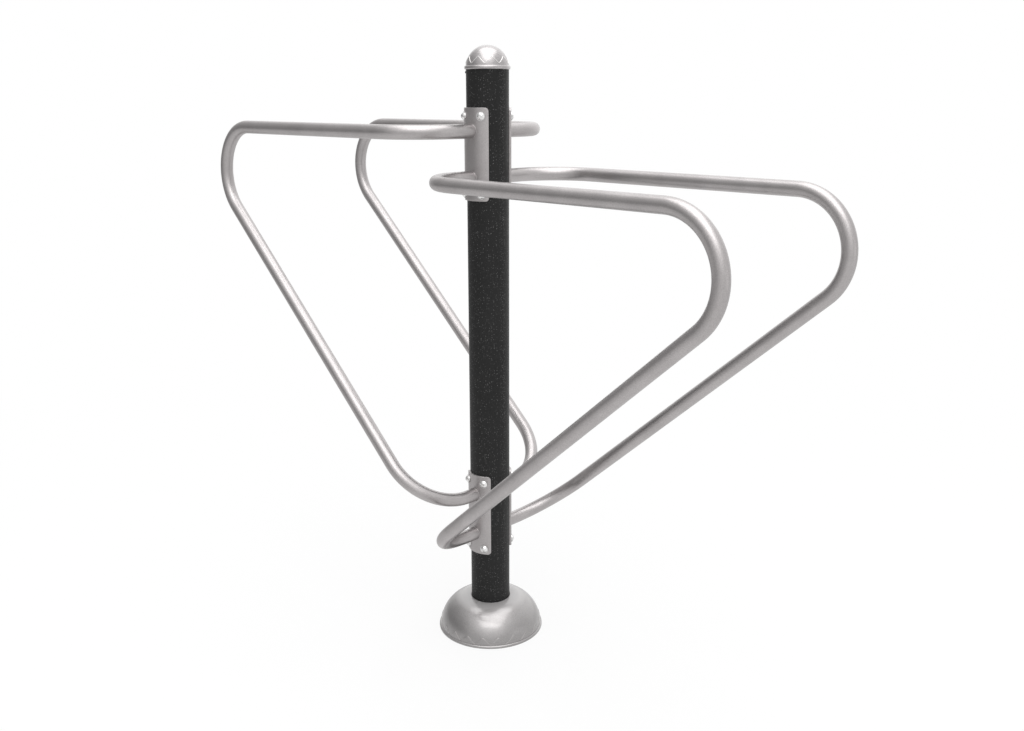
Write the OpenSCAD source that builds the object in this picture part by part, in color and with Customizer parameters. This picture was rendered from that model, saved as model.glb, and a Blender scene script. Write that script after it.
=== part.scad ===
// Biceps and triceps bar station for an outdoor gym: a round post on a floor flange carries two pairs
// of bent tube bars, a high pair and a low pair, on curved saddle plates that are screwed to the post.
// Units are millimetres, +Z is up, the origin is on the ground at the post's centre, and the bars
// reach out along X.

/* [Post] */
// Outside diameter of the post tube
post_d = 114.3; // [101.6:0.1:127]
// Wall thickness of the post tube
post_wall = 4; // [3:0.5:6]
// Height of the post tube's top end above the ground
post_top_z = 1621; // [1580:1:1700]

/* [Base flange] */
// Outside diameter of the floor flange
flange_d = 284; // [276:1:286]
// Thickness of the floor flange
flange_t = 12; // [8:1:16]
// Diameter of the circle that the anchor holes lie on
anchor_pcd = 220; // [200:1:230]
// Diameter of each anchor hole
anchor_hole_d = 18; // [12:1:22]
// Number of anchor holes, and of the gussets between them
anchor_count = 4; // [3:1:6]
// Diameter of the drain hole under the post
drain_d = 60; // [30:1:80]
// Thickness of each gusset
gusset_t = 8; // [5:1:12]
// Height of the gussets above the flange
gusset_h = 58; // [40:1:62]
// How far the gussets reach out from the post
gusset_reach = 52; // [30:1:56]
// Height of a gusset's blunt toe, and width of its blunt top
gusset_toe = 10; // [6:1:14]
// Radius of the weld relief in a gusset's inner corner
gusset_relief_r = 9; // [5:1:12]

/* [Base cover] */
// Outside diameter of the cover's rim
cover_d = 311; // [308:1:330]
// Height of the cover's neck above the ground
cover_h = 97; // [92:1:108]
// Wall thickness of the cast cover
cover_wall = 5; // [3.5:0.5:6]
// Height of the rim
rim_h = 8; // [5:1:10]
// Width of the step on top of the rim
rim_step = 5; // [3:0.5:7]
// Radius of the rim's edges
rim_edge_r = 1.5; // [1:0.5:2]
// Depth of the neck inside the cover, along the post
neck_depth = 14; // [8:1:18]
// Height of the ledge that rests on the flange
ledge_h = 6; // [4:1:8]
// Width of the ledge that rests on the flange
ledge_w = 7; // [5:1:9]
// Gap between the cover's neck and the post
neck_gap = 0.3; // [0.2:0.1:0.8]

/* [Saddle plates] */
// Thickness of the saddle plates
saddle_t = 6; // [4:0.5:8]
// Height of the saddle plates
saddle_h = 243; // [236:1:280]
// Angle that each saddle plate wraps round the post
saddle_wrap = 97; // [90:1:120]
// Radius of the plates' corners
saddle_corner_r = 10; // [6:1:16]
// Distance of the upper screws from the plates' top edges
screw_inset = 22; // [16:1:26]
// Distance of the lower screws from the plates' bottom edges
screw_inset_low = 18; // [16:1:26]
// Angle of the screws to each side of the plates' centre line
screw_angle = 30; // [26:1:34]

/* [Bars] */
// Outside diameter of the bar tube
bar_d = 38; // [32:0.5:42]
// Wall thickness of the bar tube
bar_wall = 2.5; // [2:0.5:4]
// Distance between the front and rear bar of a pair
grip_spacing = 522; // [500:1:600]
// Height of the high pair's level grips
high_grip_z = 1464; // [1440:1:1480]
// Height of the low pair's level grips
low_grip_z = 1342; // [1320:1:1360]
// Height of a level grip over the lower end of the same bar
bar_drop = 1027; // [980:1:1060]
// Distance from the post's centre to where a bar's two straight runs would meet
bar_corner_x = 1157; // [1100:1:1250]
// Bend radius of a bar's grip end and of its outer bend
grip_bend_r = 142; // [120:1:160]
// Bend radius of a bar's lower end
foot_bend_r = 168; // [140:1:180]
// Leg of the weld between a bar and its saddle plate
weld_leg = 2; // [2:0.5:6]

/* [Saddle screws] */
// Thread diameter of the saddle screws
screw_d = 12; // [10:1:14]
// Length of the saddle screws under the head
screw_length = 25; // [22:1:32]
// Diameter of the screws' button heads
head_d = 21; // [18:0.5:23]
// Height of the screws' button heads
head_h = 6.6; // [5:0.1:7.5]
// Width across the flats of the hexagon socket
socket_flats = 8; // [6:1:9]
// Depth of the hexagon socket
socket_depth = 4; // [3:0.5:4.5]
// Outside diameter of the washers
washer_d = 24; // [23:0.5:26]
// Thickness of the washers in their middle: their undersides follow the saddle plate
washer_t = 3; // [1.5:0.5:4]
// Gap round each screw in its clearance hole
hole_gap = 0.5; // [0.3:0.1:1]
// Outside diameter of the threaded bushes in the post wall
bush_d = 18; // [17:0.5:20]
// Length of the threaded bushes
bush_length = 14; // [10:1:16]
// Gap round a screw in its thread
thread_gap = 0.1; // [0.05:0.05:0.2]

/* [Post cap] */
// Radius of the cap's dome
cap_dome_r = 58; // [52:0.5:58]
// How far the dome's centre lies below the collar's top
cap_dome_drop = 5; // [0:0.5:6]
// Outside diameter of the cap's collar
cap_collar_d = 123; // [123:1:134]
// Height of the cap's collar
cap_collar_h = 10; // [8:1:14]
// Radius of the collar's rounded edges
cap_collar_edge_r = 3; // [2:0.5:3]
// Wall thickness of the cast cap
cap_wall = 4; // [3:0.5:6]
// Radius of the fillet at the dome's foot
cap_fillet_r = 0.5; // [0.3:0.1:0.6]
// Depth of the cap's skirt inside the post
cap_skirt_depth = 25; // [15:1:40]
// Gap between the cap's skirt and the post
cap_gap = 0.3; // [0.2:0.1:0.6]
// Number of screws that hold the cap
cap_screw_count = 3; // [2:1:4]
// Direction of the first cap screw, from the front towards the high pair
cap_screw_angle = 45; // [0:1:90]
// Distance of the cap screws below the post's top end
cap_screw_drop = 6.5; // [6:0.5:10]
// Thread diameter of the cap screws
cap_screw_d = 4; // [3:0.5:5]
// Length of the cap screws under the head
cap_screw_length = 10; // [9:0.5:14]
// Diameter of the cap screws' heads
cap_head_d = 7.6; // [6:0.1:9]
// Height of the cap screws' heads
cap_head_h = 2.2; // [1.5:0.1:3]
// Width across the flats of the cap screws' sockets
cap_socket_flats = 2.5; // [2:0.5:3]
// Depth of the cap screws' sockets
cap_socket_depth = 1.2; // [0.8:0.1:1.4]

/* [Hidden] */
$fn = 96;
hexagon = 6;
quarter_turn = 90;
half_turn = 180;
full_turn = 360;

// How far a cut runs past the faces that it opens, and a joined run into the bend before it
overrun = 1;

// The slope's tube is this much slimmer inside and outside, so that its end lies in the bend's wall
joint_step = 0.15;

// The cap's fillet cuts this far into the dome and the collar, so that their outlines cross
fillet_bite = 0.01;

// Chamfer on a screw's tip, as a share of its thread
screw_tip_share = 0.15;

post_r = post_d / 2;
bore_r = post_r - post_wall;
saddle_r = post_r + saddle_t;
bar_r = bar_d / 2;
grip_y = grip_spacing / 2;

// Height of a saddle plate's centre, between the two bars that it carries
upper_saddle_z = (high_grip_z + low_grip_z) / 2;
lower_saddle_z = upper_saddle_z - bar_drop;

// A saddle screw's head sits on the flat top of its washer
head_dist = saddle_r + washer_t;

// A bar's outer bend turns from the level grip to the slope that runs back to the post
outer_turn = half_turn - atan(bar_drop / bar_corner_x);
outer_tangent = grip_bend_r * tan(outer_turn / 2);
slope_length = sqrt(bar_corner_x * bar_corner_x + bar_drop * bar_drop);

// The cover's dome is an arc turned round the post, level at the neck
dome_foot_r = cover_d / 2 - rim_step;
dome_base_z = rim_h;
dome_rise = cover_h - dome_base_z;
dome_arc_x = post_r + neck_gap + cover_wall / 2;
dome_run = dome_foot_r - dome_arc_x;
dome_arc_r = (dome_run * dome_run + dome_rise * dome_rise) / (2 * dome_rise);
dome_arc_z = cover_h - dome_arc_r;

// Turns a front piece to the rear of the post
module rear() {
  rotate([0, 0, half_turn]) children();
}

// Four places on one saddle plate, seen from outside: children point out from the post's axis
module at_saddle_screws(centre_z) {
  upper_rise = saddle_h / 2 - screw_inset;
  lower_rise = screw_inset_low - saddle_h / 2;
  for (angle = [-screw_angle, screw_angle], rise = [lower_rise, upper_rise])
    translate([0, 0, centre_z + rise]) rotate([0, 0, angle]) rotate([quarter_turn, 0, 0]) children();
}

// The cap screws' places: children point out from the post's axis
module at_cap_screws() {
  for (i = [0 : cap_screw_count - 1])
    translate([0, 0, post_top_z - cap_screw_drop])
      rotate([0, 0, i * full_turn / cap_screw_count - cap_screw_angle])
        rotate([quarter_turn, 0, 0]) children();
}

// Button-head screw with a hexagon socket: its head sits on z = 0 and its thread runs down
module button_screw(thread_d, length, top_d, top_h, flats, depth) {
  top_r = top_d / 2;
  dome_r = (top_r * top_r + top_h * top_h) / (2 * top_h);
  tip = thread_d * screw_tip_share;
  thread_r = thread_d / 2;
  difference() {
    rotate_extrude() union() {
      intersection() {
        square([top_r, top_h]);
        translate([0, top_h - dome_r]) circle(dome_r);
      }
      polygon([[0, 0], [thread_r, 0], [thread_r, tip - length], [thread_r - tip, -length], [0, -length]]);
    }
    translate([0, 0, top_h - depth])
      cylinder(h = depth + overrun, d = flats / cos(half_turn / hexagon), $fn = hexagon);
  }
}

// The post tube, with holes for the threaded bushes and the cap screws
module post_tube() color([0.18, 0.18, 0.18]) {
  difference() {
    translate([0, 0, flange_t]) cylinder(h = post_top_z - flange_t, r = post_r);
    translate([0, 0, flange_t - overrun])
      cylinder(h = post_top_z - flange_t + 2 * overrun, r = bore_r);
    for (centre_z = [upper_saddle_z, lower_saddle_z]) {
      at_saddle_screws(centre_z) cylinder(h = post_r + overrun, d = bush_d);
      rear() at_saddle_screws(centre_z) cylinder(h = post_r + overrun, d = bush_d);
    }
    at_cap_screws() cylinder(h = post_r + overrun, r = cap_screw_d / 2 + thread_gap);
  }
}

// The floor flange that the post is welded to
module base_flange() color([0.55, 0.56, 0.57]) {
  difference() {
    cylinder(h = flange_t, d = flange_d);
    translate([0, 0, -overrun]) cylinder(h = flange_t + 2 * overrun, d = drain_d);
    for (i = [0 : anchor_count - 1])
      rotate([0, 0, (i + 1 / 2) * full_turn / anchor_count])
        translate([anchor_pcd / 2, 0, -overrun])
          cylinder(h = flange_t + 2 * overrun, d = anchor_hole_d);
  }
}

// Side view of one gusset, from the post's axis outwards
module gusset_outline() {
  foot_x = post_r + gusset_reach;
  difference() {
    polygon([[0, 0], [foot_x, 0], [foot_x, gusset_toe], [post_r + gusset_toe, gusset_h], [0, gusset_h]]);
    translate([post_r, 0]) circle(gusset_relief_r);
  }
}

// Welded gussets between the anchor holes
module base_gussets() color([0.55, 0.56, 0.57]) {
  for (i = [0 : anchor_count - 1])
    rotate([0, 0, i * full_turn / anchor_count])
      difference() {
        translate([0, gusset_t / 2, flange_t])
          rotate([quarter_turn, 0, 0]) linear_extrude(gusset_t) gusset_outline();
        cylinder(h = flange_t + gusset_h + overrun, r = post_r);
      }
}

// Section of the cast cover: dome, stepped rim, neck and the ledge that rests on the flange
module cover_section() {
  neck_r = post_r + neck_gap;
  rim_r = cover_d / 2;
  inner_foot_r = dome_foot_r - cover_wall;
  difference() {
    union() {
      intersection() {
        translate([dome_arc_x, dome_arc_z]) circle(dome_arc_r);
        translate([dome_arc_x, dome_base_z]) square([cover_d, cover_h]);
      }
      translate([0, dome_base_z]) square([dome_arc_x, dome_rise]);
      square([dome_foot_r, rim_h]);
      square([rim_r, rim_h - rim_edge_r]);
      square([rim_r - rim_edge_r, rim_h]);
      translate([rim_r - rim_edge_r, rim_h - rim_edge_r]) circle(rim_edge_r);
    }
    intersection() {
      translate([dome_arc_x, dome_arc_z]) circle(dome_arc_r - cover_wall);
      translate([neck_r + cover_wall, -overrun]) square([cover_d, cover_h]);
      translate([0, -overrun]) square([inner_foot_r, cover_h]);
    }
    translate([0, -overrun]) square([inner_foot_r, rim_h + overrun]);
    translate([0, -overrun]) square([neck_r + cover_wall, cover_h - neck_depth + overrun]);
    translate([0, -overrun]) square([neck_r, cover_h + 2 * overrun]);
  }
}

// The ring inside the cover that rests on the flange
module ledge_section() {
  ledge_out_r = dome_foot_r - cover_wall / 2;
  ledge_in_r = flange_d / 2 - ledge_w;
  translate([ledge_in_r, flange_t]) square([ledge_out_r - ledge_in_r, ledge_h]);
}

// The cast cover over the flange
module base_cover() color([0.66, 0.65, 0.65]) {
  rotate_extrude() union() {
    cover_section();
    ledge_section();
  }
}

// Section of the cast cap above the post's top end
module cap_outline() {
  collar_r = cap_collar_d / 2;
  edge_r = cap_collar_edge_r;
  fillet_z = cap_fillet_r - fillet_bite;
  fillet_dist = cap_dome_r + fillet_z;
  fillet_rise = cap_dome_drop + fillet_z;
  fillet_x = sqrt(fillet_dist * fillet_dist - fillet_rise * fillet_rise);
  union() {
    intersection() {
      translate([0, cap_collar_h - cap_dome_drop]) circle(cap_dome_r);
      translate([0, cap_collar_h]) square(cap_dome_r);
    }
    square([collar_r - edge_r, cap_collar_h]);
    translate([0, edge_r]) square([collar_r, cap_collar_h - 2 * edge_r]);
    translate([collar_r - edge_r, edge_r]) circle(edge_r);
    translate([collar_r - edge_r, cap_collar_h - edge_r]) circle(edge_r);
    translate([0, cap_collar_h]) difference() {
      polygon([[0, -cap_dome_drop], [fillet_x, 0], [fillet_x, fillet_z]]);
      translate([fillet_x, fillet_z]) circle(cap_fillet_r);
    }
  }
}

// The cast cap: dome and collar on the post's end, skirt inside it
module post_cap() color([0.66, 0.65, 0.65]) {
  skirt_r = bore_r - cap_gap;
  translate([0, 0, post_top_z]) difference() {
    rotate_extrude() difference() {
      union() {
        cap_outline();
        translate([0, -cap_skirt_depth]) square([skirt_r, cap_skirt_depth + overrun]);
      }
      intersection() {
        translate([0, cap_collar_h - cap_dome_drop]) circle(cap_dome_r - cap_wall);
        translate([0, cap_collar_h]) square(cap_dome_r);
      }
      translate([0, -cap_skirt_depth - overrun])
        square([skirt_r - cap_wall, cap_skirt_depth + cap_collar_h + 2 * overrun]);
    }
    translate([0, 0, -post_top_z]) at_cap_screws()
      cylinder(h = post_r + overrun, r = cap_screw_d / 2 + thread_gap);
  }
}

// The screws that hold the cap in the post
module cap_screws() color([0.12, 0.12, 0.12]) {
  at_cap_screws() translate([0, 0, post_r])
    button_screw(cap_screw_d, cap_screw_length, cap_head_d, cap_head_h, cap_socket_flats,
                 cap_socket_depth);
}

// What the rounding takes off the corner at the top of a saddle plate's right edge
module saddle_corner_cut() {
  rotate([quarter_turn, 0, 0]) linear_extrude(saddle_r + overrun)
    translate([-saddle_corner_r, saddle_h / 2 - saddle_corner_r]) difference() {
      square(saddle_corner_r + overrun);
      circle(saddle_corner_r);
    }
}

// One curved saddle plate on the front of the post
module saddle(centre_z) {
  edge_angle = saddle_wrap / 2;
  difference() {
    translate([0, 0, centre_z]) rotate([0, 0, -quarter_turn - edge_angle])
      rotate_extrude(angle = saddle_wrap)
        translate([post_r, -saddle_h / 2]) square([saddle_t, saddle_h]);
    for (side = [0, 1], end = [0, 1])
      translate([0, 0, centre_z]) mirror([side, 0, 0]) mirror([0, 0, end])
        rotate([0, 0, edge_angle]) saddle_corner_cut();
    at_saddle_screws(centre_z) cylinder(h = saddle_r + overrun, r = screw_d / 2 + hole_gap);
  }
}

module upper_front_saddle() color([0.62, 0.61, 0.61]) saddle(upper_saddle_z);
module upper_rear_saddle() color([0.62, 0.61, 0.61]) rear() saddle(upper_saddle_z);
module lower_front_saddle() color([0.62, 0.61, 0.61]) saddle(lower_saddle_z);
module lower_rear_saddle() color([0.62, 0.61, 0.61]) rear() saddle(lower_saddle_z);

// Cross-section of the bar tube, or one that is slimmer by a step inside and outside
module tube_section(step) {
  difference() {
    circle(bar_r - step);
    circle(bar_r - bar_wall + step);
  }
}

// A straight run along +Z, with what follows at its far end
module straight(length) {
  linear_extrude(length) tube_section(0);
  translate([0, 0, length]) children();
}

// A straight run whose start is let into the bend before it
module joined_straight(length) {
  translate([0, 0, -overrun]) linear_extrude(length + overrun) tube_section(joint_step);
  translate([0, 0, length]) children();
}

// A bend out of +Z, rolled about the tube first, with what follows at its far end
module bend(radius, angle, roll) {
  rotate([0, 0, roll]) {
    translate([radius, 0, 0]) rotate([quarter_turn, 0, half_turn])
      rotate_extrude(angle = angle) translate([radius, 0]) tube_section(0);
    translate([radius * (1 - cos(angle)), 0, radius * sin(angle)]) rotate([0, angle, 0]) children();
  }
}

// The weld round a tube that runs out of a saddle plate, before the plate's curve is cut away
module weld_ring() {
  foot_r = bar_r + weld_leg;
  foot_dist = sqrt(saddle_r * saddle_r - foot_r * foot_r);
  ring_h = saddle_r + weld_leg - foot_dist;
  translate([0, 0, foot_dist - overrun]) difference() {
    cylinder(h = ring_h + overrun, r1 = foot_r + overrun * weld_leg / ring_h, r2 = bar_r);
    translate([0, 0, -overrun]) cylinder(h = ring_h + 3 * overrun, r = bar_r - bar_wall / 2);
  }
}

// One bent bar of the high pair, in front of the post, with its level grip at the given height
module bar(grip_z) {
  first_run = grip_y - grip_bend_r;
  grip_run = bar_corner_x - grip_bend_r - outer_tangent;
  slope_run = slope_length - outer_tangent - foot_bend_r;
  last_run = grip_y - foot_bend_r;
  translate([0, 0, grip_z]) difference() {
    rotate([quarter_turn, 0, 0]) {
      weld_ring();
      straight(first_run)
        bend(grip_bend_r, quarter_turn, half_turn)
          straight(grip_run)
            bend(grip_bend_r, outer_turn, quarter_turn)
              joined_straight(slope_run)
                bend(foot_bend_r, quarter_turn, -quarter_turn)
                  straight(last_run)
                    rotate([half_turn, 0, 0]) weld_ring();
    }
    translate([0, 0, -bar_drop - bar_d]) cylinder(h = bar_drop + 2 * bar_d, r = saddle_r);
  }
}

module high_front_bar() color([0.66, 0.65, 0.65]) bar(high_grip_z);
module high_rear_bar() color([0.66, 0.65, 0.65]) mirror([0, 1, 0]) bar(high_grip_z);
module low_front_bar() color([0.66, 0.65, 0.65]) mirror([1, 0, 0]) bar(low_grip_z);
module low_rear_bar() color([0.66, 0.65, 0.65]) rear() bar(low_grip_z);

// Four screws, with their heads on the washers
module screws(centre_z) {
  at_saddle_screws(centre_z) translate([0, 0, head_dist])
    button_screw(screw_d, screw_length, head_d, head_h, socket_flats, socket_depth);
}

module upper_front_screws() color([0.85, 0.85, 0.86]) screws(upper_saddle_z);
module upper_rear_screws() color([0.85, 0.85, 0.86]) rear() screws(upper_saddle_z);
module lower_front_screws() color([0.85, 0.85, 0.86]) screws(lower_saddle_z);
module lower_rear_screws() color([0.85, 0.85, 0.86]) rear() screws(lower_saddle_z);

// Four washers, flat outside and curved to the saddle plate inside
module washers(centre_z) {
  difference() {
    at_saddle_screws(centre_z) difference() {
      cylinder(h = head_dist, d = washer_d);
      cylinder(h = head_dist + overrun, r = screw_d / 2 + hole_gap);
    }
    translate([0, 0, centre_z - saddle_h / 2]) cylinder(h = saddle_h, r = saddle_r);
  }
}

module upper_front_washers() color([0.78, 0.78, 0.79]) washers(upper_saddle_z);
module upper_rear_washers() color([0.78, 0.78, 0.79]) rear() washers(upper_saddle_z);
module lower_front_washers() color([0.78, 0.78, 0.79]) washers(lower_saddle_z);
module lower_rear_washers() color([0.78, 0.78, 0.79]) rear() washers(lower_saddle_z);

// Four threaded bushes, welded into the post wall flush with its outside
module bushes(centre_z) {
  intersection() {
    at_saddle_screws(centre_z) translate([0, 0, post_r - bush_length]) difference() {
      cylinder(h = bush_length + overrun, d = bush_d);
      translate([0, 0, -overrun])
        cylinder(h = bush_length + 3 * overrun, r = screw_d / 2 + thread_gap);
    }
    translate([0, 0, centre_z - saddle_h / 2]) cylinder(h = saddle_h, r = post_r);
  }
}

module upper_front_bushes() color([0.5, 0.5, 0.5]) bushes(upper_saddle_z);
module upper_rear_bushes() color([0.5, 0.5, 0.5]) rear() bushes(upper_saddle_z);
module lower_front_bushes() color([0.5, 0.5, 0.5]) bushes(lower_saddle_z);
module lower_rear_bushes() color([0.5, 0.5, 0.5]) rear() bushes(lower_saddle_z);

post_tube();
base_flange();
base_gussets();
base_cover();
post_cap();
cap_screws();
upper_front_saddle();
upper_rear_saddle();
lower_front_saddle();
lower_rear_saddle();
high_front_bar();
high_rear_bar();
low_front_bar();
low_rear_bar();
upper_front_screws();
upper_rear_screws();
lower_front_screws();
lower_rear_screws();
upper_front_washers();
upper_rear_washers();
lower_front_washers();
lower_rear_washers();
upper_front_bushes();
upper_rear_bushes();
lower_front_bushes();
lower_rear_bushes();
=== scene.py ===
import math
from collections import namedtuple

import bpy
import numpy as np
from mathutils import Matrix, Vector
from mathutils.geometry import delaunay_2d_cdt


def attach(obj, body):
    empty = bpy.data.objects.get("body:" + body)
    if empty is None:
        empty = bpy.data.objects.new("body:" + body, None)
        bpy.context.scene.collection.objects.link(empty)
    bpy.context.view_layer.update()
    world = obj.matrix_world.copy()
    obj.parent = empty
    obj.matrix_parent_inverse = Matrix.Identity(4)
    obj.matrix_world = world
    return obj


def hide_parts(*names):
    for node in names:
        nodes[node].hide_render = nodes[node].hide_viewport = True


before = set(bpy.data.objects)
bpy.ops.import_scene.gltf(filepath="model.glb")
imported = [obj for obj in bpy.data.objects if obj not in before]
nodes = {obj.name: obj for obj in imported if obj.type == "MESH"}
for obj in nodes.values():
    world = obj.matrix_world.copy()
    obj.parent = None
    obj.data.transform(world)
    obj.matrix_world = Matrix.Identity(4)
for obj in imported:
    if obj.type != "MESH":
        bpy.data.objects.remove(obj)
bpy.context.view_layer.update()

# A millimetre, in metres
MM = 0.001

# Post and saddle plates, in millimetres
POST_R = 57.15
POST_TOP = 1621.0
SADDLE_T = 6.0
SADDLE_R = POST_R + SADDLE_T
SADDLE_H = 243.0
SADDLE_WRAP = math.radians(97)
SADDLE_CORNER = 10.0
SCREW_ANGLE = math.radians(30)
SCREW_FROM_FOOT = 18.0
SCREW_FROM_TOP = 22.0
SCREW_RISES = (SCREW_FROM_FOOT - SADDLE_H / 2, SADDLE_H / 2 - SCREW_FROM_TOP)
SCREW_HOLE_R = 6.5

# Bars, in millimetres; a tube is a hair thinner than its solid, so that it stays inside the CAD model's box,
# and its ends lie a little under the plate's outside, with a short straight stub
BAR_R = 18.98
BAR_DEPTH = 3.2
BAR_STUB = 6.0
GRIP_Y = 261.0
HIGH_GRIP_Z = 1464.0
LOW_GRIP_Z = 1342.0
BAR_DROP = 1027.0
BAR_CORNER_X = 1157.0
GRIP_BEND_R = 142.0
FOOT_BEND_R = 168.0
UPPER_SADDLE_Z = (HIGH_GRIP_Z + LOW_GRIP_Z) / 2
LOWER_SADDLE_Z = UPPER_SADDLE_Z - BAR_DROP

# Welds, in millimetres: the fillet that shows, and the hidden part that closes it
WELD_LEG = 0.7
WELD_FOOT = 0.8
WELD_DEPTH = 0.9
WELD_OVERLAP = 0.05
WELD_BACK_SHARE = 0.6

# A dome's arc in its section: its centre out from the axis and up, and its radius
Dome = namedtuple("Dome", "x z radius")

# A crown of points round a dome: their number, the angle of one, the heights that they run between,
# the width of the bevel along them, and how far the band below them stands proud
Crown = namedtuple("Crown", "points first low high bevel_w band")

# Base cover, in millimetres; its inner arc runs between two angles in degrees from straight up
COVER_R = 155.5
COVER_FOOT_R = 150.5
COVER_WALL = 5.0
COVER_TOP = 97.0
COVER_BAND = 0.8
COVER_SOLE_EDGE_R = 0.6
COVER_INNER_ARC = (82, 1.8)
RIM_H = 8.0
RIM_EDGE_R = 4.5
NECK_CLEARANCE = 0.3
NECK_R = POST_R + NECK_CLEARANCE
NECK_DEPTH = 14.0
NECK_EDGE_R = 2.0
LEDGE_Z = 12.0
LEDGE_H = 6.0
LEDGE_R = 135.0
COVER_ARC_X = NECK_R + COVER_WALL / 2
COVER_ARC_RISE = COVER_TOP - RIM_H
COVER_ARC_R = ((COVER_FOOT_R - COVER_ARC_X) ** 2 + COVER_ARC_RISE ** 2) / (2 * COVER_ARC_RISE)
COVER_DOME = Dome(COVER_ARC_X, COVER_TOP - COVER_ARC_R, COVER_ARC_R)
COVER_CROWN = Crown(20, math.radians(1), 10.6, 29.5, 1.8, COVER_BAND)
COVER_BEAD_R = 0.5

# Post cap, in millimetres
CAP_COLLAR_TOP = 1631.0
CAP_COLLAR_R = 61.5
CAP_EDGE_R = 3.0
CAP_EDGE_H = 4.5
CAP_LIP_R = 4.0
CAP_FILLET_R = 0.5
CAP_BAND = 0.8
CAP_WALL = 4.0
CAP_INNER_R = 54.0
CAP_INNER_Z = 1626.0
CAP_SKIRT_R = 52.85
CAP_SKIRT_EDGE = 1.0
CAP_SKIRT_DEPTH = 25.0
CAP_SKIRT_FOOT = POST_TOP - CAP_SKIRT_DEPTH
CAP_DOME = Dome(0.0, 1627.0, 56.9)
CAP_CROWN = Crown(9, math.radians(19), 1636.8, 1652.7, 1.1, CAP_BAND)
CAP_BEAD_R = 0.9


# Material nodes
RANGE_SOCKETS = ("From Min", "From Max", "To Min", "To Max")


def new_tree(owner):
    """The emptied node tree of a material or world."""
    owner.use_nodes = True
    owner.node_tree.nodes.clear()
    return owner.node_tree


def new_material(name):
    mat = bpy.data.materials.new(name)
    tree = new_tree(mat)
    out = tree.nodes.new("ShaderNodeOutputMaterial")
    bsdf = tree.nodes.new("ShaderNodeBsdfPrincipled")
    tree.links.new(bsdf.outputs[0], out.inputs[0])
    return mat, tree, bsdf


def feed(tree, socket, value):
    """Links a socket to another one, or sets it to a number or vector."""
    if isinstance(value, bpy.types.NodeSocket):
        tree.links.new(value, socket)
    else:
        socket.default_value = value


def feed_all(tree, node, values):
    for name, value in values.items():
        feed(tree, node.inputs[name], value)


def noise(tree, coords, scale, detail=2.0, rough=0.5, stretch=None):
    node = tree.nodes.new("ShaderNodeTexNoise")
    feed_all(tree, node, {"Scale": scale, "Detail": detail, "Roughness": rough})
    source = coords.outputs["Object"]
    if stretch:
        mapping = tree.nodes.new("ShaderNodeMapping")
        feed_all(tree, mapping, {"Scale": stretch, "Vector": source})
        source = mapping.outputs[0]
    feed(tree, node.inputs["Vector"], source)
    return node.outputs["Fac"]


def cells(tree, coords, scale):
    """Cells of random size: the distance from each one's middle, and two random tones for each."""
    node = tree.nodes.new("ShaderNodeTexVoronoi")
    feed_all(tree, node, {"Scale": scale, "Vector": coords.outputs["Object"]})
    tones = tree.nodes.new("ShaderNodeSeparateColor")
    tree.links.new(node.outputs["Color"], tones.inputs[0])
    return node.outputs["Distance"], tones.outputs[0], tones.outputs[1]


def map_range(tree, value, source, target=(0.0, 1.0), smooth=False):
    node = tree.nodes.new("ShaderNodeMapRange")
    if smooth:
        node.interpolation_type = "SMOOTHSTEP"
    feed_all(tree, node, {"Value": value, **dict(zip(RANGE_SOCKETS, (*source, *target)))})
    return node.outputs[0]


def maths(tree, operation, a, b):
    node = tree.nodes.new("ShaderNodeMath")
    node.operation = operation
    feed(tree, node.inputs[0], a)
    feed(tree, node.inputs[1], b)
    return node.outputs[0]


def vector_maths(tree, operation, vector, other=(0.0, 0.0, 0.0)):
    node = tree.nodes.new("ShaderNodeVectorMath")
    node.operation = operation
    feed(tree, node.inputs[0], vector)
    feed(tree, node.inputs[1], other)
    return node.outputs["Value" if operation in ("LENGTH", "DOT_PRODUCT") else "Vector"]


def mix_colour(tree, factor, a, b):
    node = tree.nodes.new("ShaderNodeMix")
    node.data_type = "RGBA"
    feed(tree, node.inputs["Factor"], factor)
    for name, colour in (("A", a), ("B", b)):
        is_link = isinstance(colour, bpy.types.NodeSocket)
        feed(tree, node.inputs[name], colour if is_link else (*colour, 1))
    return node.outputs["Result"]


def bump(tree, height, strength, distance, before=None):
    """Normal of a surface raised by a height, over another bump or over the plain surface."""
    node = tree.nodes.new("ShaderNodeBump")
    feed_all(tree, node, {"Strength": strength, "Distance": distance, "Height": height})
    if before is not None:
        feed(tree, node.inputs["Normal"], before)
    return node.outputs["Normal"]


def shade(colour, share):
    return tuple(c * share for c in colour)


def grey(level):
    return (level, level, level)


# Materials; scales are cells to a metre, and bump distances are metres
CLOUD_RANGE = (0.35, 0.65)
GRAIN_RANGE = (0.3, 0.7)
LACQUER_ROUGHNESS = 0.12
LACQUER_IOR = 1.6

# A satin coat's clouds, flakes and dark specks: their scale, how far they cover it, and the share of
# its colour that they have; then the clouds in its roughness
COAT_CLOUD_SCALE = 14.0
COAT_CLOUD_SHARES = (0.96, 1.09)
FLAKE_RANGE = (0.4, 0.75)
FLAKE_COVER = 0.35
FLAKE_SHARE = 1.35
SPECK_SCALE = 430.0
SPECK_COVER = 0.4
SPECK_SHARE = 0.7
ROUGHNESS_SCALE = 45.0
ROUGHNESS_SWING = 0.02


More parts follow.
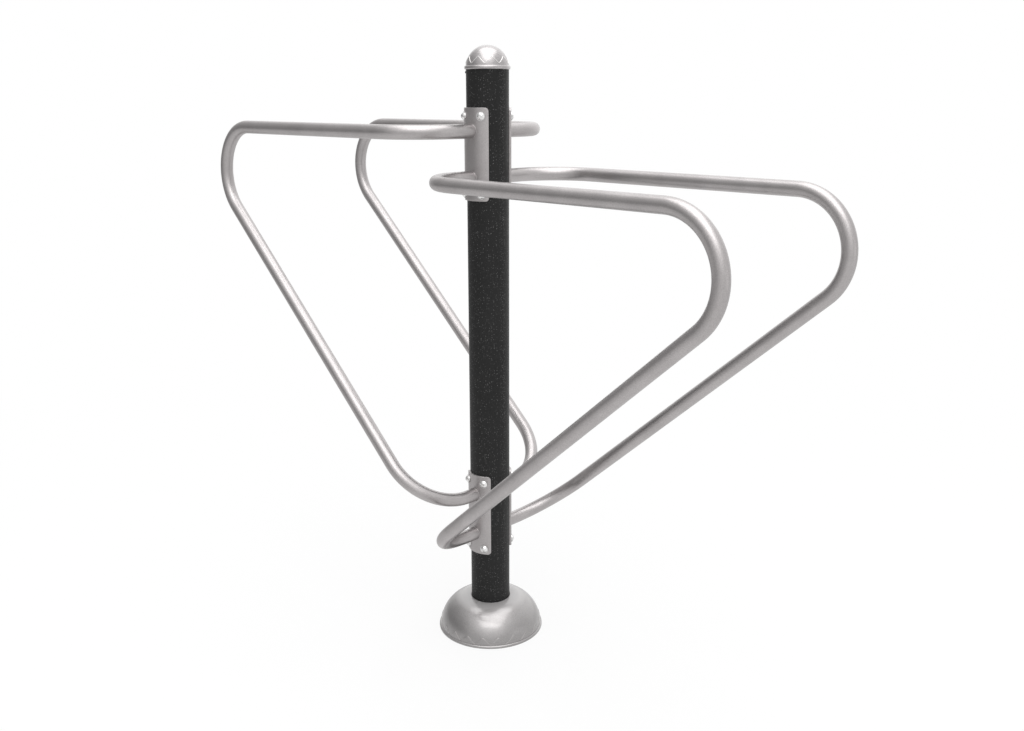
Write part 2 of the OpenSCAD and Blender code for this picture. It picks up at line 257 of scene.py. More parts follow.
def satin_coat(name, colour, roughness, grain, flake, metallic=1.0, lacquer=0.0):
    """Silver stove enamel: metal flakes under a satin skin, with a fine orange-peel surface."""
    mat, tree, bsdf = new_material(name)
    coords = tree.nodes.new("ShaderNodeTexCoord")
    clouds = map_range(tree, noise(tree, coords, COAT_CLOUD_SCALE, detail=3.0), CLOUD_RANGE)
    base = mix_colour(tree, clouds, *(shade(colour, share) for share in COAT_CLOUD_SHARES))
    flakes = noise(tree, coords, flake, detail=1.0)
    flake_share = map_range(tree, flakes, FLAKE_RANGE, (0.0, FLAKE_COVER))
    flecked = mix_colour(tree, flake_share, base, shade(colour, FLAKE_SHARE))
    specks = map_range(tree, noise(tree, coords, SPECK_SCALE, detail=1.0), CLOUD_RANGE, (SPECK_COVER, 0.0))
    specked = mix_colour(tree, specks, flecked, shade(colour, SPECK_SHARE))
    rough = map_range(tree, noise(tree, coords, ROUGHNESS_SCALE, detail=4.0), GRAIN_RANGE,
                      (roughness - ROUGHNESS_SWING, roughness + ROUGHNESS_SWING))
    peel = bump(tree, noise(tree, coords, grain), strength=0.10, distance=0.0003)
    feed_all(tree, bsdf, {
        "Base Color": specked,
        "Metallic": metallic,
        "Roughness": rough,
        "Coat Weight": lacquer,
        "Coat Roughness": LACQUER_ROUGHNESS,
        "Coat IOR": LACQUER_IOR,
        "Normal": bump(tree, flakes, strength=0.05, distance=0.0002, before=peel),
    })
    return mat


# Distances from the post's axis, in metres, over which the cover's neck, painted lighter, passes into its
# coat
NECK_TONE_RADII = (0.072, 0.092)
NECK_COAT_RADII = (0.088, 0.108)
NECK_METAL_RADII = (0.084, 0.108)
# Painted light: the neck's lighter colours stand in for the brightness that the post's dark reflection takes
# from it
NECK_PAINTED_LIGHT_COLOURS = ((0.37, 0.36, 0.36), (0.39, 0.378, 0.377))
NECK_METALLIC = 0.15
CAST_METALLIC = 0.95
HORIZONTAL = (1, 1, 0)


def paint_light_on_neck(mat):
    """Makes a coat duller and paints it lighter towards the cover's neck, by its distance from the post's
    axis: painted light.
    """
    tree = mat.node_tree
    bsdf = next(n for n in tree.nodes if n.type == "BSDF_PRINCIPLED")
    coat = bsdf.inputs["Base Color"].links[0].from_socket
    coords = tree.nodes.new("ShaderNodeTexCoord")
    from_axis = vector_maths(tree, "MULTIPLY", coords.outputs["Object"], HORIZONTAL)
    radius = vector_maths(tree, "LENGTH", from_axis)
    # Painted light: a lighter colour near the post, against the shade of its reflection
    neck = mix_colour(tree, map_range(tree, radius, NECK_TONE_RADII), *NECK_PAINTED_LIGHT_COLOURS)
    feed_all(tree, bsdf, {
        "Base Color": mix_colour(tree, map_range(tree, radius, NECK_COAT_RADII), neck, coat),
        "Metallic": map_range(tree, radius, NECK_METAL_RADII, (NECK_METALLIC, CAST_METALLIC)),
    })


# A powder coat's greys, its roughness, and its glints, painted highlights of lighter specks in its colour:
# their scale, the distances over which one fades in its cell, and the tones over which cells begin to glint
POWDER_GREYS = (0.019, 0.022)
POWDER_CLOUD_SCALE = 9.0
POWDER_ROUGHNESS = (0.40, 0.50)
POWDER_IOR = 1.2
GLINT_SCALE = 260.0
GLINT_DISTANCES = (0.15, 0.3)
GLINT_TONES = (0.4, 1.0)
GLINT_GREYS = (0.03, 0.2)


def black_powder(name):
    """Fine-textured black powder coat with small glints, painted into its colour as lighter specks."""
    mat, tree, bsdf = new_material(name)
    coords = tree.nodes.new("ShaderNodeTexCoord")
    distance, tone, _ = cells(tree, coords, GLINT_SCALE)
    # Painted highlights: cells whose middles glint with lighter greys
    glint = map_range(tree, distance, GLINT_DISTANCES, (1.0, 0.0))
    glint_colour = mix_colour(tree, map_range(tree, tone, GLINT_TONES), *map(grey, GLINT_GREYS))
    clouds = map_range(tree, noise(tree, coords, POWDER_CLOUD_SCALE, detail=3.0), CLOUD_RANGE)
    base = mix_colour(tree, clouds, *map(grey, POWDER_GREYS))
    grain = noise(tree, coords, GLINT_SCALE, detail=3.0)
    texture = bump(tree, noise(tree, coords, 700.0), strength=0.25, distance=0.0003)
    feed_all(tree, bsdf, {
        "Base Color": mix_colour(tree, glint, base, glint_colour),
        "Roughness": map_range(tree, grain, GRAIN_RANGE, POWDER_ROUGHNESS),
        "IOR": POWDER_IOR,
        "Normal": bump(tree, noise(tree, coords, 120.0), strength=0.12, distance=0.0005, before=texture),
    })
    return mat


# Bare metal's clouds and their dark share, and its scratches: their stretch along Z, and what they add to
# its roughness, from the least to the most
METAL_CLOUD_SCALE = 160.0
METAL_DARK_SHARE = 0.9
SCRATCH_STRETCH = (1.0, 1.0, 0.12)
SCRATCH_SWING = (-0.05, 0.07)


def bare_metal(name, colour, roughness, scratch):
    """Turned, drawn or polished metal, with fine scratches."""
    mat, tree, bsdf = new_material(name)
    coords = tree.nodes.new("ShaderNodeTexCoord")
    lines = noise(tree, coords, scratch, detail=3.0, rough=0.6, stretch=SCRATCH_STRETCH)
    clouds = noise(tree, coords, METAL_CLOUD_SCALE)
    feed_all(tree, bsdf, {
        "Base Color": mix_colour(tree, clouds, shade(colour, METAL_DARK_SHARE), colour),
        "Metallic": 1.0,
        "Roughness": map_range(tree, lines, GRAIN_RANGE, [roughness + swing for swing in SCRATCH_SWING]),
        "Normal": bump(tree, lines, strength=0.06, distance=0.0001),
    })
    return mat


# Zinc from its darkest to its lightest grain
ZINC_COLOURS = ((0.33, 0.34, 0.35), (0.5, 0.51, 0.52))
ZINC_ROUGHNESS = (0.38, 0.58)
SPANGLE_SCALE = 90.0


def galvanised(name):
    """Hot-dip zinc with its spangle."""
    mat, tree, bsdf = new_material(name)
    coords = tree.nodes.new("ShaderNodeTexCoord")
    _, tone, dullness = cells(tree, coords, SPANGLE_SCALE)
    feed_all(tree, bsdf, {
        "Base Color": mix_colour(tree, tone, *ZINC_COLOURS),
        "Metallic": 1.0,
        "Roughness": map_range(tree, dullness, (0.0, 1.0), ZINC_ROUGHNESS),
        "Normal": bump(tree, noise(tree, coords, 60.0, detail=3.0), strength=0.2, distance=0.0006),
    })
    return mat


SILVER = (0.405, 0.386, 0.385)
TUBE_COAT = {"grain": 260.0, "flake": 1500.0}
CAST_COAT = {"roughness": 0.33, "grain": 180.0, "flake": 700.0, "metallic": CAST_METALLIC}
silver_bars = satin_coat("silver_bar_coat", SILVER, roughness=0.38, **TUBE_COAT)
silver_plates = satin_coat("silver_plate_coat", SILVER, roughness=0.40, **TUBE_COAT)
cast_cap = satin_coat("cast_cap_coat", (0.385, 0.369, 0.369), lacquer=0.3, **CAST_COAT)
cast_cover = satin_coat("cast_cover_coat", (0.31, 0.299, 0.298), lacquer=0.5, **CAST_COAT)
paint_light_on_neck(cast_cover)
cap_bead_metal = bare_metal("polished_casting", (0.74, 0.725, 0.715), roughness=0.28, scratch=900.0)
cover_bead_metal = bare_metal("worn_casting", (0.42, 0.405, 0.4), roughness=0.3, scratch=900.0)
post_black = black_powder("black_powder_coat")
screw_black = black_powder("black_screw_finish")
stainless = bare_metal("stainless_screw", (0.78, 0.775, 0.77), roughness=0.17, scratch=700.0)
washer_steel = bare_metal("stainless_washer", (0.62, 0.615, 0.61), roughness=0.24, scratch=900.0)
bush_steel = bare_metal("bush_steel", (0.5, 0.49, 0.48), roughness=0.32, scratch=500.0)
zinc = galvanised("galvanised_steel")

for names, mat in (
    (("post_tube",), post_black),
    (("cap_screws",), screw_black),
    (("base_flange", "base_gussets"), zinc),
    (("upper_front_screws", "upper_rear_screws", "lower_front_screws", "lower_rear_screws"), stainless),
    (("upper_front_washers", "upper_rear_washers", "lower_front_washers", "lower_rear_washers"),
     washer_steel),
    (("upper_front_bushes", "upper_rear_bushes", "lower_front_bushes", "lower_rear_bushes"), bush_steel),
):
    for name in names:
        for material_slot in nodes[name].material_slots:
            material_slot.material = mat


# Mesh helpers
def make_piece(name, skin, mat, replaced=(), sharp=35.0):
    """A mesh object from points in millimetres, smooth except at its sharp edges, riding on the root body."""
    verts, faces = skin
    mesh = bpy.data.meshes.new(name)
    mesh.from_pydata([tuple(c * MM for c in v) for v in verts], [], faces)
    mesh.validate()
    mesh.update()
    mesh.materials.append(mat)
    mesh.polygons.foreach_set("use_smooth", [True] * len(mesh.polygons))
    mesh.set_sharp_from_angle(angle=math.radians(sharp))
    obj = bpy.data.objects.new(name, mesh)
    bpy.context.scene.collection.objects.link(obj)
    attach(obj, "root")
    if replaced:
        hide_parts(*replaced)


def full_turn(count):
    """Angles spaced evenly over a full turn."""
    return [2 * math.pi * i / count for i in range(count)]


def loft(rings, cap_ends=True, flip=False):
    """A skin over closed rings with the same number of points."""
    count = len(rings[0])
    verts = [p for ring in rings for p in ring]
    faces = []
    for i in range(len(rings) - 1):
        for j in range(count):
            k = (j + 1) % count
            quad = (i * count + j, i * count + k, (i + 1) * count + k, (i + 1) * count + j)
            faces.append(quad[::-1] if flip else quad)
    if cap_ends:
        first = list(range(count))
        last = [(len(rings) - 1) * count + j for j in range(count)]
        faces.append(first if flip else first[::-1])
        faces.append(last[::-1] if flip else last)
    return verts, faces


def closed_loft(rings, flip=False):
    """A skin over rings that runs round and joins its own start."""
    verts, faces = loft(rings + rings[:1], cap_ends=False, flip=flip)
    last = len(verts) - len(rings[0])
    return verts[:last], [tuple(v - last if v >= last else v for v in face) for face in faces]


def joined(skins):
    verts, faces = [], []
    for more_verts, more_faces in skins:
        faces += [tuple(i + len(verts) for i in face) for face in more_faces]
        verts += more_verts
    return verts, faces


# Bars: one smooth tube each, along the CAD model's centre line
TUBE_SIDES = 56
BEND_STEP = math.radians(3)
WELD_SIDES = 96
WELD_ARC_STEPS = 8


def bar_line():
    """Centre line of a bar in front of +X, as (point, direction) pairs: y runs out from the post."""
    x, y, z = (np.array(v, float) for v in ((1, 0, 0), (0, 1, 0), (0, 0, 1)))
    turn = math.pi - math.atan(BAR_DROP / BAR_CORNER_X)
    tangent = GRIP_BEND_R * math.tan(turn / 2)
    slope = math.hypot(BAR_DROP, BAR_CORNER_X) - tangent - FOOT_BEND_R
    start = SADDLE_R - BAR_DEPTH
    line = [(y * start, y), (y * (start + BAR_STUB), y)]

    def run(length):
        point, heading = line[-1]
        line.append((point + heading * length, heading))

    def bend(towards, radius, angle):
        point, heading = line[-1]
        centre = point + towards * radius
        steps = max(2, round(angle / BEND_STEP))
        for i in range(1, steps + 1):
            a = angle * i / steps
            line.append((centre - towards * (radius * math.cos(a)) + heading * (radius * math.sin(a)),
                         heading * math.cos(a) + towards * math.sin(a)))

    run(GRIP_Y - GRIP_BEND_R - start - BAR_STUB)
    bend(x, GRIP_BEND_R, math.pi / 2)
    run(BAR_CORNER_X - GRIP_BEND_R - tangent)
    bend(-z, GRIP_BEND_R, turn)
    run(slope)
    bend(-y, FOOT_BEND_R, math.pi / 2)
    run(GRIP_Y - FOOT_BEND_R - start)
    return line


def bar_tube(side, front, grip_z):
    """A bar's outside; side is -1 on the left and front is -1 in front."""
    rings = []
    reference = np.array((0.0, 0.0, 1.0))
    for point, heading in bar_line():
        reference = reference - heading * reference.dot(heading)
        reference /= np.linalg.norm(reference)
        other = np.cross(heading, reference)
        ring = [point + BAR_R * (math.cos(a) * reference + math.sin(a) * other)
                for a in full_turn(TUBE_SIDES)]
        rings.append([(side * x, front * y, grip_z + z) for x, y, z in ring])
    return loft(rings, flip=side * front < 0)


def weld_profile():
    """Section of a weld, as (out from the tube, up from the plate) points."""
    turns = [math.pi / 2 * k / WELD_ARC_STEPS for k in range(1, WELD_ARC_STEPS)]
    fillet = [(WELD_LEG * (1 - math.sin(t)), WELD_LEG * (1 - math.cos(t)) - WELD_OVERLAP) for t in turns]
    return [(WELD_LEG + WELD_FOOT, -WELD_DEPTH), (WELD_LEG, -WELD_OVERLAP), *fillet,
            (-WELD_OVERLAP, WELD_LEG), (-WELD_DEPTH, WELD_LEG * WELD_BACK_SHARE), (-WELD_DEPTH, -WELD_DEPTH)]


def weld_bead(side, front, grip_z):
    """A small smooth fillet of weld and coating round the tube where it meets the saddle plate."""
    rings = []
    for a in full_turn(WELD_SIDES):
        ring = []
        for out, up in weld_profile():
            x, z = (BAR_R + out) * math.cos(a), (BAR_R + out) * math.sin(a)
            y = math.sqrt(SADDLE_R ** 2 - x * x) + up
            ring.append((side * x, front * y, grip_z + z))
        rings.append(ring)
    return closed_loft(rings, flip=side * front > 0)


for pair, side, grip_z in (("high", -1, HIGH_GRIP_Z), ("low", 1, LOW_GRIP_Z)):
    for place, front in (("front", -1), ("rear", 1)):
        tube = bar_tube(side, front, grip_z)
        make_piece(f"{pair}_{place}_tube", tube, silver_bars, (f"{pair}_{place}_bar",))
        welds = joined([weld_bead(side, front, z) for z in (grip_z, grip_z - BAR_DROP)])
        make_piece(f"{pair}_{place}_welds", welds, silver_bars, sharp=60.0)


# Cast cap and base cover: turned skins, each with a low crown of points round its foot
AXIS_LIMIT = 1e-6
CAP_COLUMNS = 360
COVER_COLUMNS = 540
CAP_BEAD_STEPS = 540
COVER_BEAD_STEPS = 1200
BEAD_SIDES = 10
DOME_STEPS = 18
BAND_STEPS = 5

# How straight a crown's sides run between its points, from 0 for a sine wave to 1 for straight lines
CROWN_STRAIGHT = 0.95

# The bevel along a crown: places across it in half widths, each with its share of the band's height
BEVEL = ((-1.5, 0.0), (-1.15, 0.03), (-0.85, 0.13), (0.0, 0.5), (0.85, 0.87), (1.15, 0.97), (1.5, 1.0))

# Room between a crown's points and the plain dome, in widths of the bevel
BEVEL_ROOM_SHARE = 1.5

# Half the angle over which a crown's slope and a bead's direction are measured
SLOPE_SPAN = 0.001
BEAD_SPAN = 0.002


def revolved(columns, closed):
    """Skin of a turned body from its section at evenly spaced angles; a section may end on the axis."""
    count, rows = len(columns), len(columns[0])
    verts, ids = [], {}
    for j, (phi, column) in enumerate(zip(full_turn(count), columns)):
        for i, (r, z) in enumerate(column):
            if r < AXIS_LIMIT and j:
                ids[i, j] = ids[i, 0]
                continue
            ids[i, j] = len(verts)
            verts.append((r * math.sin(phi), -r * math.cos(phi), z))
    faces = []
    for j in range(count):
        k = (j + 1) % count
        for i in range(rows if closed else rows - 1):
            n = (i + 1) % rows
            corners = (ids[i, j], ids[n, j], ids[n, k], ids[i, k])
            faces.append(tuple(c for at, c in enumerate(corners) if c != corners[at - 1]))
    return verts, faces


def arc(x, z, radius, start, end, steps):
    """Points on a circle in a section; angles in degrees from straight up, towards the outside."""
    angles = [math.radians(start + (end - start) * i / steps) for i in range(steps + 1)]
    return [(x + radius * math.sin(a), z + radius * math.cos(a)) for a in angles]


def angle_at(dome, z):
    """Angle from straight up at which a dome's arc reaches a height."""
    return math.acos((z - dome.z) / dome.radius)


def crown_edge(phi, dome, crown):
    """Angle from straight up, in a dome's section, of the crown's edge at one angle round the post."""
    swing = CROWN_STRAIGHT * math.cos(crown.points * (phi - crown.first))
    wave = math.asin(swing) / math.asin(CROWN_STRAIGHT)
    return angle_at(dome, (crown.low + crown.high) / 2 + (crown.high - crown.low) / 2 * wave)


def crown_column(phi, dome, crown, foot):
    """Outside of a dome at one angle: its lower band stands proud, up to a bevel that runs in points."""
    middle = crown_edge(phi, dome, crown)
    rise = crown_edge(phi + SLOPE_SPAN, dome, crown) - crown_edge(phi - SLOPE_SPAN, dome, crown)
    spread = dome.radius * rise / (2 * SLOPE_SPAN) / (dome.x + dome.radius * math.sin(middle))
    half = crown.bevel_w / 2 * math.hypot(1, spread) / dome.radius
    above = angle_at(dome, crown.high + BEVEL_ROOM_SHARE * crown.bevel_w)
    start, end = middle + BEVEL[0][0] * half, middle + BEVEL[-1][0] * half
    rows = [(above * i / DOME_STEPS, 0.0) for i in range(DOME_STEPS)]
    rows += [(above + (start - above) * i / BAND_STEPS, 0.0) for i in range(BAND_STEPS)]
    rows += [(middle + at * half, height * crown.band) for at, height in BEVEL]
    rows += [(end + (foot - end) * i / BAND_STEPS, crown.band) for i in range(1, BAND_STEPS + 1)]
    return [(dome.x + (dome.radius + up) * math.sin(a), dome.z + (dome.radius + up) * math.cos(a))
            for a, up in rows]


def on_crown(phi, dome, crown):
    """Point of a dome on its crown's edge, and the direction straight out of the dome there."""
    a = crown_edge(phi, dome, crown)
    r = dome.x + dome.radius * math.sin(a)
    point = np.array((r * math.sin(phi), -r * math.cos(phi), dome.z + dome.radius * math.cos(a)))
    return point, np.array((math.sin(a) * math.sin(phi), -math.sin(a) * math.cos(phi), math.cos(a)))


def crown_bead(dome, crown, bead_r, steps):
    """A fine round bead along the middle of a crown's bevel, its centre a third of its radius proud of it."""
    rings = []
    for phi in full_turn(steps):
        point, out = on_crown(phi, dome, crown)
        along = on_crown(phi + BEAD_SPAN, dome, crown)[0] - on_crown(phi - BEAD_SPAN, dome, crown)[0]
        across = np.cross(along / np.linalg.norm(along), out)
        centre = point + out * (crown.band / 2 + bead_r / 3)
        rings.append([tuple(centre + bead_r * (math.cos(t) * out + math.sin(t) * across))
                      for t in full_turn(BEAD_SIDES)])
    return closed_loft(rings)


def cap_column(phi):
    """Section of the cap at one angle, from its top down the outside and back up the inside."""
    fillet_dist = CAP_DOME.radius + CAP_BAND + CAP_FILLET_R
    lean = math.asin((CAP_COLLAR_TOP - CAP_DOME.z + CAP_FILLET_R) / fillet_dist)
    column = crown_column(phi, CAP_DOME, CAP_CROWN, math.pi / 2 - lean)
    fillet_x, fillet_z = fillet_dist * math.cos(lean), CAP_COLLAR_TOP + CAP_FILLET_R
    column += arc(fillet_x, fillet_z, CAP_FILLET_R, 270 - math.degrees(lean), 180, steps=4)[1:]
    column += [(r, CAP_COLLAR_TOP + z * CAP_EDGE_H / CAP_EDGE_R)
               for r, z in arc(CAP_COLLAR_R - CAP_EDGE_R, -CAP_EDGE_R, CAP_EDGE_R, 0, 90, steps=9)]
    column += arc(CAP_COLLAR_R - CAP_LIP_R, POST_TOP + CAP_LIP_R, CAP_LIP_R, 90, 180, steps=8)
    inner_r = CAP_SKIRT_R - CAP_WALL
    column += [(CAP_SKIRT_R, POST_TOP), (CAP_SKIRT_R, CAP_SKIRT_FOOT + CAP_SKIRT_EDGE),
               (CAP_SKIRT_R - CAP_SKIRT_EDGE, CAP_SKIRT_FOOT), (inner_r, CAP_SKIRT_FOOT),
               (inner_r, CAP_COLLAR_TOP)]
    rim = math.degrees(math.acos((CAP_COLLAR_TOP - CAP_INNER_Z) / CAP_INNER_R))
    column += arc(0, CAP_INNER_Z, CAP_INNER_R, rim, 0, steps=14)
    column[0] = (0.0, column[0][1])
    column[-1] = (0.0, column[-1][1])
    return column


def cover_column(phi):
    """Closed section of the cover at one angle, from its neck down the outside and back up the inside."""
    column = arc(NECK_R + NECK_EDGE_R, COVER_TOP - NECK_EDGE_R, NECK_EDGE_R, -90, 0, steps=6)[:-1]
    column += crown_column(phi, COVER_DOME, COVER_CROWN, angle_at(COVER_DOME, RIM_H))
    column += arc(COVER_R - RIM_EDGE_R, RIM_H - RIM_EDGE_R, RIM_EDGE_R, 0, 90, steps=5)
    column += arc(COVER_R - COVER_SOLE_EDGE_R, COVER_SOLE_EDGE_R, COVER_SOLE_EDGE_R, 90, 180, steps=3)
    inner_r = COVER_FOOT_R - COVER_WALL
    column += [(inner_r, 0.0), (inner_r, LEDGE_Z), (LEDGE_R, LEDGE_Z), (LEDGE_R, LEDGE_Z + LEDGE_H)]
    column += arc(COVER_DOME.x, COVER_DOME.z, COVER_DOME.radius - COVER_WALL, *COVER_INNER_ARC, steps=15)
    column += [(NECK_R + COVER_WALL, COVER_TOP - NECK_DEPTH), (NECK_R, COVER_TOP - NECK_DEPTH)]
    return column


for name, section, columns, closed, replaced, mat in (
    ("cast_cap", cap_column, CAP_COLUMNS, False, "post_cap", cast_cap),
    ("cast_cover", cover_column, COVER_COLUMNS, True, "base_cover", cast_cover),
):
    casting = revolved([section(phi) for phi in full_turn(columns)], closed)
    make_piece(name, casting, mat, (replaced,), sharp=50.0)

for name, dome, crown, bead_r, steps, mat in (
    ("cap_crown_bead", CAP_DOME, CAP_CROWN, CAP_BEAD_R, CAP_BEAD_STEPS, cap_bead_metal),
    ("cover_crown_bead", COVER_DOME, COVER_CROWN, COVER_BEAD_R, COVER_BEAD_STEPS, cover_bead_metal),
):
    make_piece(name, crown_bead(dome, crown, bead_r, steps), mat, sharp=80.0)


# Saddle plates: curved round the post, with rounded edges and screw holes
PLATE_EDGE_R = 0.9
PLATE_EDGE_STEPS = 4
PLATE_CORNER_STEPS = 9
PLATE_U_STEP = 2.7
PLATE_Z_STEP = 7.0
PLATE_POINT_ROOM = 1.6
HOLE_SIDES = 40
MERGE_DISTANCE = 1e-6

# The corners of a plate in turn: its side, its level, and the angle at which its arc starts
PLATE_CORNERS = ((1, 1, 0), (-1, 1, 90), (-1, -1, 180), (1, -1, 270))


def rounded_outline(inset):
    """Outline of the unrolled plate, (along, up) from its middle, with the same points at every inset."""
    flat_w = SADDLE_WRAP / 2 * SADDLE_R - SADDLE_CORNER
    flat_h = SADDLE_H / 2 - SADDLE_CORNER
    radius = SADDLE_CORNER - inset

    def corner_point(sx, sz, degrees):
        return (sx * flat_w + radius * math.cos(math.radians(degrees)),
                sz * flat_h + radius * math.sin(math.radians(degrees)))

    points = []
    for at, (sx, sz, start) in enumerate(PLATE_CORNERS):
        points += [corner_point(sx, sz, start + 90 * i / PLATE_CORNER_STEPS)
                   for i in range(PLATE_CORNER_STEPS + 1)]
        last = points[-1]
        next_sx, next_sz, _ = PLATE_CORNERS[(at + 1) % len(PLATE_CORNERS)]
        after = corner_point(next_sx, next_sz, start + 90)
        steps = round(2 * flat_w / PLATE_U_STEP) if at % 2 == 0 else round(2 * flat_h / PLATE_Z_STEP)
        points += [tuple(c + (d - c) * i / steps for c, d in zip(last, after)) for i in range(1, steps)]
    return points


def filled(outline, holes):
    """Triangles of a flat region, as points and index triples; the outline's and holes' points come first."""
    points = list(outline)
    edges = [(i, (i + 1) % len(outline)) for i in range(len(outline))]
    for hole in holes:
        start = len(points)
        points += hole
        edges += [(start + i, start + (i + 1) % len(hole)) for i in range(len(hole))]
    fixed = np.array(points)
    half_w, half_h = fixed.max(axis=0)
    centres = [np.mean(hole, axis=0) for hole in holes]
    reach = math.dist(holes[0][0], centres[0])
    for u in np.arange(-half_w, half_w, PLATE_U_STEP)[1:]:
        for z in np.arange(-half_h, half_h, PLATE_Z_STEP)[1:]:
            clear = np.hypot(*(fixed - (u, z)).T).min() > PLATE_POINT_ROOM
            if clear and all(math.dist((u, z), c) > reach for c in centres):
                points.append((u, z))
    flat = [Vector(p) for p in points]
    _, _, triangles, source, _, _ = delaunay_2d_cdt(flat, edges, [], 1, MERGE_DISTANCE)
    order = {new: old[0] for new, old in enumerate(source)}
    kept = []
    for triangle in triangles:
        middle = np.mean([points[order[v]] for v in triangle], axis=0)
        if all(math.dist(middle, c) > reach for c in centres):
            kept.append(tuple(order[v] for v in triangle))
    return points, kept


def on_cylinder(points, radius):
    """Points of the unrolled plate on a cylinder round the post, in front of it."""
    return [(radius * math.sin(u / SADDLE_R), -radius * math.cos(u / SADDLE_R), z) for u, z in points]


def screw_holes(radius):
    """The unrolled plate's four screw holes, as they cut a cylinder round the post."""
    spots = [(side * SCREW_ANGLE, rise) for side in (-1, 1) for rise in SCREW_RISES]
    return [[(SADDLE_R * (angle + math.asin(SCREW_HOLE_R * math.cos(a) / radius)),
              z + SCREW_HOLE_R * math.sin(a)) for a in full_turn(HOLE_SIDES)] for angle, z in spots]


def saddle_plate(front, centre_z):
    """A curved plate's skin: its outside, its rounded edge, its inside, and the walls of its holes."""
    verts, faces = [], []

    def add(points):
        start = len(verts)
        verts.extend(points)
        return list(range(start, start + len(points)))

    def strip(first, second):
        for i in range(len(first)):
            k = (i + 1) % len(first)
            faces.append((first[i], first[k], second[k], second[i]))

    outside, triangles = filled(rounded_outline(PLATE_EDGE_R), screw_holes(SADDLE_R))
    outer = add(on_cylinder(outside, SADDLE_R))
    faces.extend(tuple(outer[v] for v in t) for t in triangles)
    border = len(rounded_outline(0))
    rim = outer[:border]
    for i in reversed(range(PLATE_EDGE_STEPS)):
        a = math.pi / 2 * i / PLATE_EDGE_STEPS
        points = rounded_outline(PLATE_EDGE_R * (1 - math.cos(a)))
        next_rim = add(on_cylinder(points, SADDLE_R - PLATE_EDGE_R * (1 - math.sin(a))))
        strip(next_rim, rim)
        rim = next_rim
    inside, triangles = filled(rounded_outline(0), screw_holes(POST_R))
    inner = add(on_cylinder(inside, POST_R))
    faces.extend(tuple(inner[v] for v in reversed(t)) for t in triangles)
    strip(inner[:border], rim)
    for start in range(border, border + 2 * len(SCREW_RISES) * HOLE_SIDES, HOLE_SIDES):
        strip(outer[start:start + HOLE_SIDES], inner[start:start + HOLE_SIDES])
    verts = [(x, -front * y, z + centre_z) for x, y, z in verts]
    if front > 0:
        faces = [f[::-1] for f in faces]
    return verts, faces


for level, centre_z in (("upper", UPPER_SADDLE_Z), ("lower", LOWER_SADDLE_Z)):
    for place, front in (("front", -1), ("rear", 1)):
        make_piece(f"{level}_{place}_plate", saddle_plate(front, centre_z), silver_plates,
                   (f"{level}_{place}_saddle",), sharp=40.0)


# Camera: it stands this many degrees round the object, and the studio's azimuths count from it
CAMERA_TURN = 45
CAMERA_TILT = 75
CAMERA_PLACE = (1.9832, -1.8915, 1.5468)
LENS = 35.0
SENSOR_W = 36.0


# Stage: pale floor and white surroundings, in metres
FLOOR_R = 7.0
FLOOR_CORNER_STEP = 3
FLOOR_COLOUR = grey(0.80)
WHITE = (1, 1, 1, 1)

# Share of plain white in the floor that the camera sees, and the distances over which it rises
FLOOR_WHITE_SHARES = (0.82, 1.0)
FLOOR_WHITE_RADII = (0.8, 3.5)

# Share of plain white in the floor that the metal reflects, and how bright it is there
REFLECTED_SHARE = 0.85
REFLECTED_LEVEL = 1.1

# What a slanting ray loses of it, rising between two places in metres towards the floor's dark side
SLANT_LOSS_PLACES = (-0.2, 0.4)
SLANT_LOSSES = (0.15, 0.45)
DARK_AZIMUTH = -106


def studio_direction(azimuth, elevation):
    """Direction from its azimuth in degrees, 0 towards the camera and 90 to its right, and its elevation."""
    a, e = math.radians(azimuth - CAMERA_TURN), math.radians(elevation)
    return math.cos(e) * math.cos(a), math.cos(e) * math.sin(a), math.sin(e)


def floor_material():
    """Pale floor: it takes the object's shadow, and it shows as plain white further out."""
    mat = bpy.data.materials.new("pale_floor")
    tree = new_tree(mat)
    out = tree.nodes.new("ShaderNodeOutputMaterial")
    diffuse = tree.nodes.new("ShaderNodeBsdfDiffuse")
    white = tree.nodes.new("ShaderNodeEmission")
    place = tree.nodes.new("ShaderNodeTexCoord").outputs["Object"]
    rays = tree.nodes.new("ShaderNodeLightPath").outputs
    slant = tree.nodes.new("ShaderNodeLayerWeight").outputs["Facing"]

    seen = map_range(tree, vector_maths(tree, "LENGTH", place), FLOOR_WHITE_RADII, FLOOR_WHITE_SHARES)
    reflected = maths(tree, "MAXIMUM", rays["Is Glossy Ray"], rays["Is Transmission Ray"])
    share = maths(tree, "MAXIMUM", maths(tree, "MULTIPLY", rays["Is Camera Ray"], seen),
                  map_range(tree, reflected, (0.0, 1.0), (0.0, REFLECTED_SHARE)))
    dark_side = vector_maths(tree, "DOT_PRODUCT", place, studio_direction(DARK_AZIMUTH, 0))
    loss = maths(tree, "MULTIPLY", slant, map_range(tree, dark_side, SLANT_LOSS_PLACES, SLANT_LOSSES))
    reflected_level = map_range(tree, loss, (0.0, 1.0), (REFLECTED_LEVEL, REFLECTED_LEVEL - 1))
    level = map_range(tree, rays["Is Camera Ray"], (0.0, 1.0), (reflected_level, 1.0))

    feed_all(tree, diffuse, {"Color": (*FLOOR_COLOUR, 1)})
    feed_all(tree, white, {"Color": WHITE, "Strength": level})
    mix = tree.nodes.new("ShaderNodeMixShader")
    for socket, source in zip(mix.inputs, (share, diffuse.outputs[0], white.outputs[0])):
        tree.links.new(source, socket)
    tree.links.new(mix.outputs[0], out.inputs[0])
    return mat


mesh = bpy.data.meshes.new("floor")
corners = [math.radians(a) for a in range(0, 360, FLOOR_CORNER_STEP)]
mesh.from_pydata([(FLOOR_R * math.cos(a), FLOOR_R * math.sin(a), 0.0) for a in corners], [],
                 [tuple(range(len(corners)))])
mesh.materials.append(floor_material())
floor = bpy.data.objects.new("floor", mesh)
bpy.context.scene.collection.objects.link(floor)


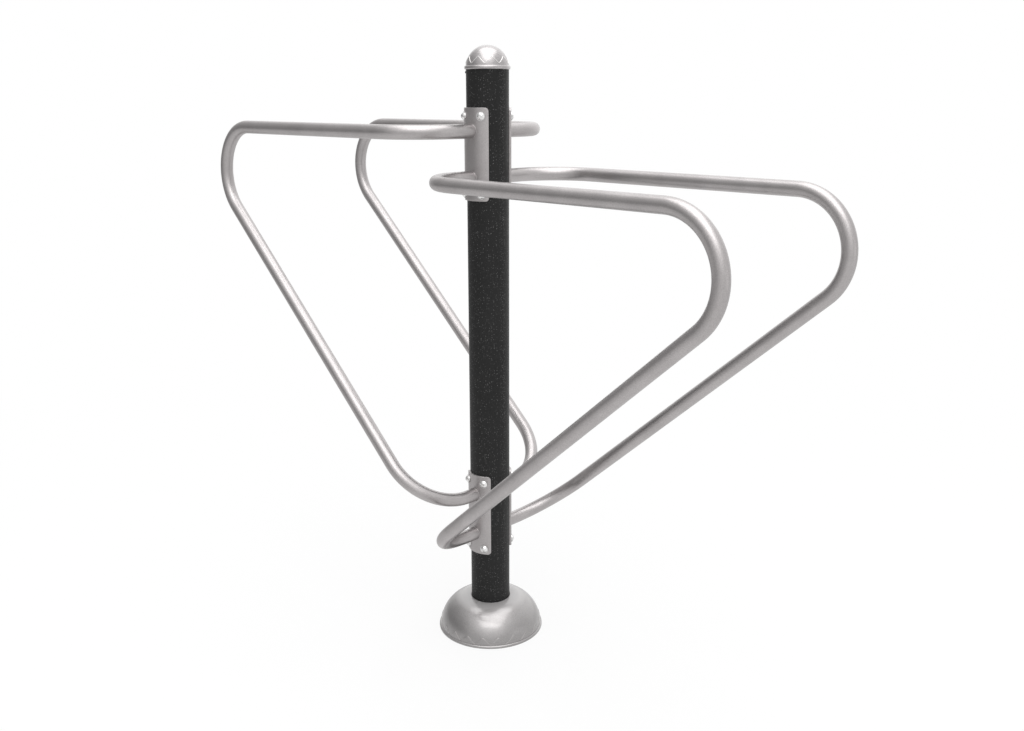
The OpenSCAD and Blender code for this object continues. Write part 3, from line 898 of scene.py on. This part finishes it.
# World: a level, a darker side, and brighter sides as (direction, cosine where it starts, what it adds)
WORLD_LEVEL = 0.86
DARK_LEVEL = WORLD_LEVEL * 0.43
DARK_DIRECTION = studio_direction(DARK_AZIMUTH, 3)
DARK_COSINES = (0.36, 0.89)
BRIGHT_SIDES = (
    ((0, 0, 1), -0.06, 0.39),
    (studio_direction(164, 6), 0.33, 0.51),
    (studio_direction(4, 30), 0.775, 0.49),
    (studio_direction(63, -8), 0.90, 0.52),
)
DIFFUSE_SHARE = 0.6
HIGHEST_LEVEL = 4.0


def world_light():
    """Studio surroundings, plain white to the camera and less bright to matt surfaces than to glossy ones."""
    world = bpy.data.worlds.new("studio")
    bpy.context.scene.world = world
    tree = new_tree(world)
    out = tree.nodes.new("ShaderNodeOutputWorld")
    direction = tree.nodes.new("ShaderNodeTexCoord").outputs["Generated"]
    rays = tree.nodes.new("ShaderNodeLightPath").outputs

    dark_side = vector_maths(tree, "DOT_PRODUCT", direction, DARK_DIRECTION)
    level = map_range(tree, dark_side, DARK_COSINES, (WORLD_LEVEL, DARK_LEVEL), smooth=True)
    for side, start, more in BRIGHT_SIDES:
        cosine = vector_maths(tree, "DOT_PRODUCT", direction, side)
        level = maths(tree, "ADD", level, map_range(tree, cosine, (start, 1.0), (0.0, more), smooth=True))
    share = map_range(tree, rays["Is Diffuse Ray"], (0.0, 1.0), (1.0, DIFFUSE_SHARE))
    level = maths(tree, "MULTIPLY", level, share)
    level = maths(tree, "MAXIMUM", level, rays["Is Camera Ray"])
    most = map_range(tree, rays["Is Camera Ray"], (0.0, 1.0), (HIGHEST_LEVEL, 1.0))
    sky = tree.nodes.new("ShaderNodeBackground")
    feed_all(tree, sky, {"Color": WHITE, "Strength": maths(tree, "MINIMUM", level, most)})
    tree.links.new(sky.outputs[0], out.inputs[0])


def key_softbox(level, height, front, back, left, right):
    """Level soft box over the object, its edges given from the object in metres, as the camera sees them."""
    data = bpy.data.lights.new("key_softbox", "AREA")
    data.shape = "RECTANGLE"
    data.size, data.size_y = left + right, front + back
    data.energy = level * math.pi * data.size * data.size_y
    obj = bpy.data.objects.new("key_softbox", data)
    bpy.context.scene.collection.objects.link(obj)
    to_camera, to_right = Vector(studio_direction(0, 0)), Vector(studio_direction(90, 0))
    obj.location = to_camera * (front - back) / 2 + to_right * (right - left) / 2 + Vector((0, 0, height))
    obj.rotation_euler = (0, 0, math.radians(CAMERA_TURN))


world_light()
key_softbox(level=1.9, height=14.0, front=17.4, back=6.6, left=6.1, right=7.2)

camera_data = bpy.data.cameras.new("camera")
camera_data.lens = LENS
camera_data.sensor_width = SENSOR_W
camera = bpy.data.objects.new("camera", camera_data)
bpy.context.scene.collection.objects.link(camera)
camera.location = CAMERA_PLACE
camera.rotation_euler = (math.radians(CAMERA_TILT), 0, math.radians(CAMERA_TURN))
bpy.context.scene.camera = camera
bpy.context.scene.view_settings.view_transform = "Standard"
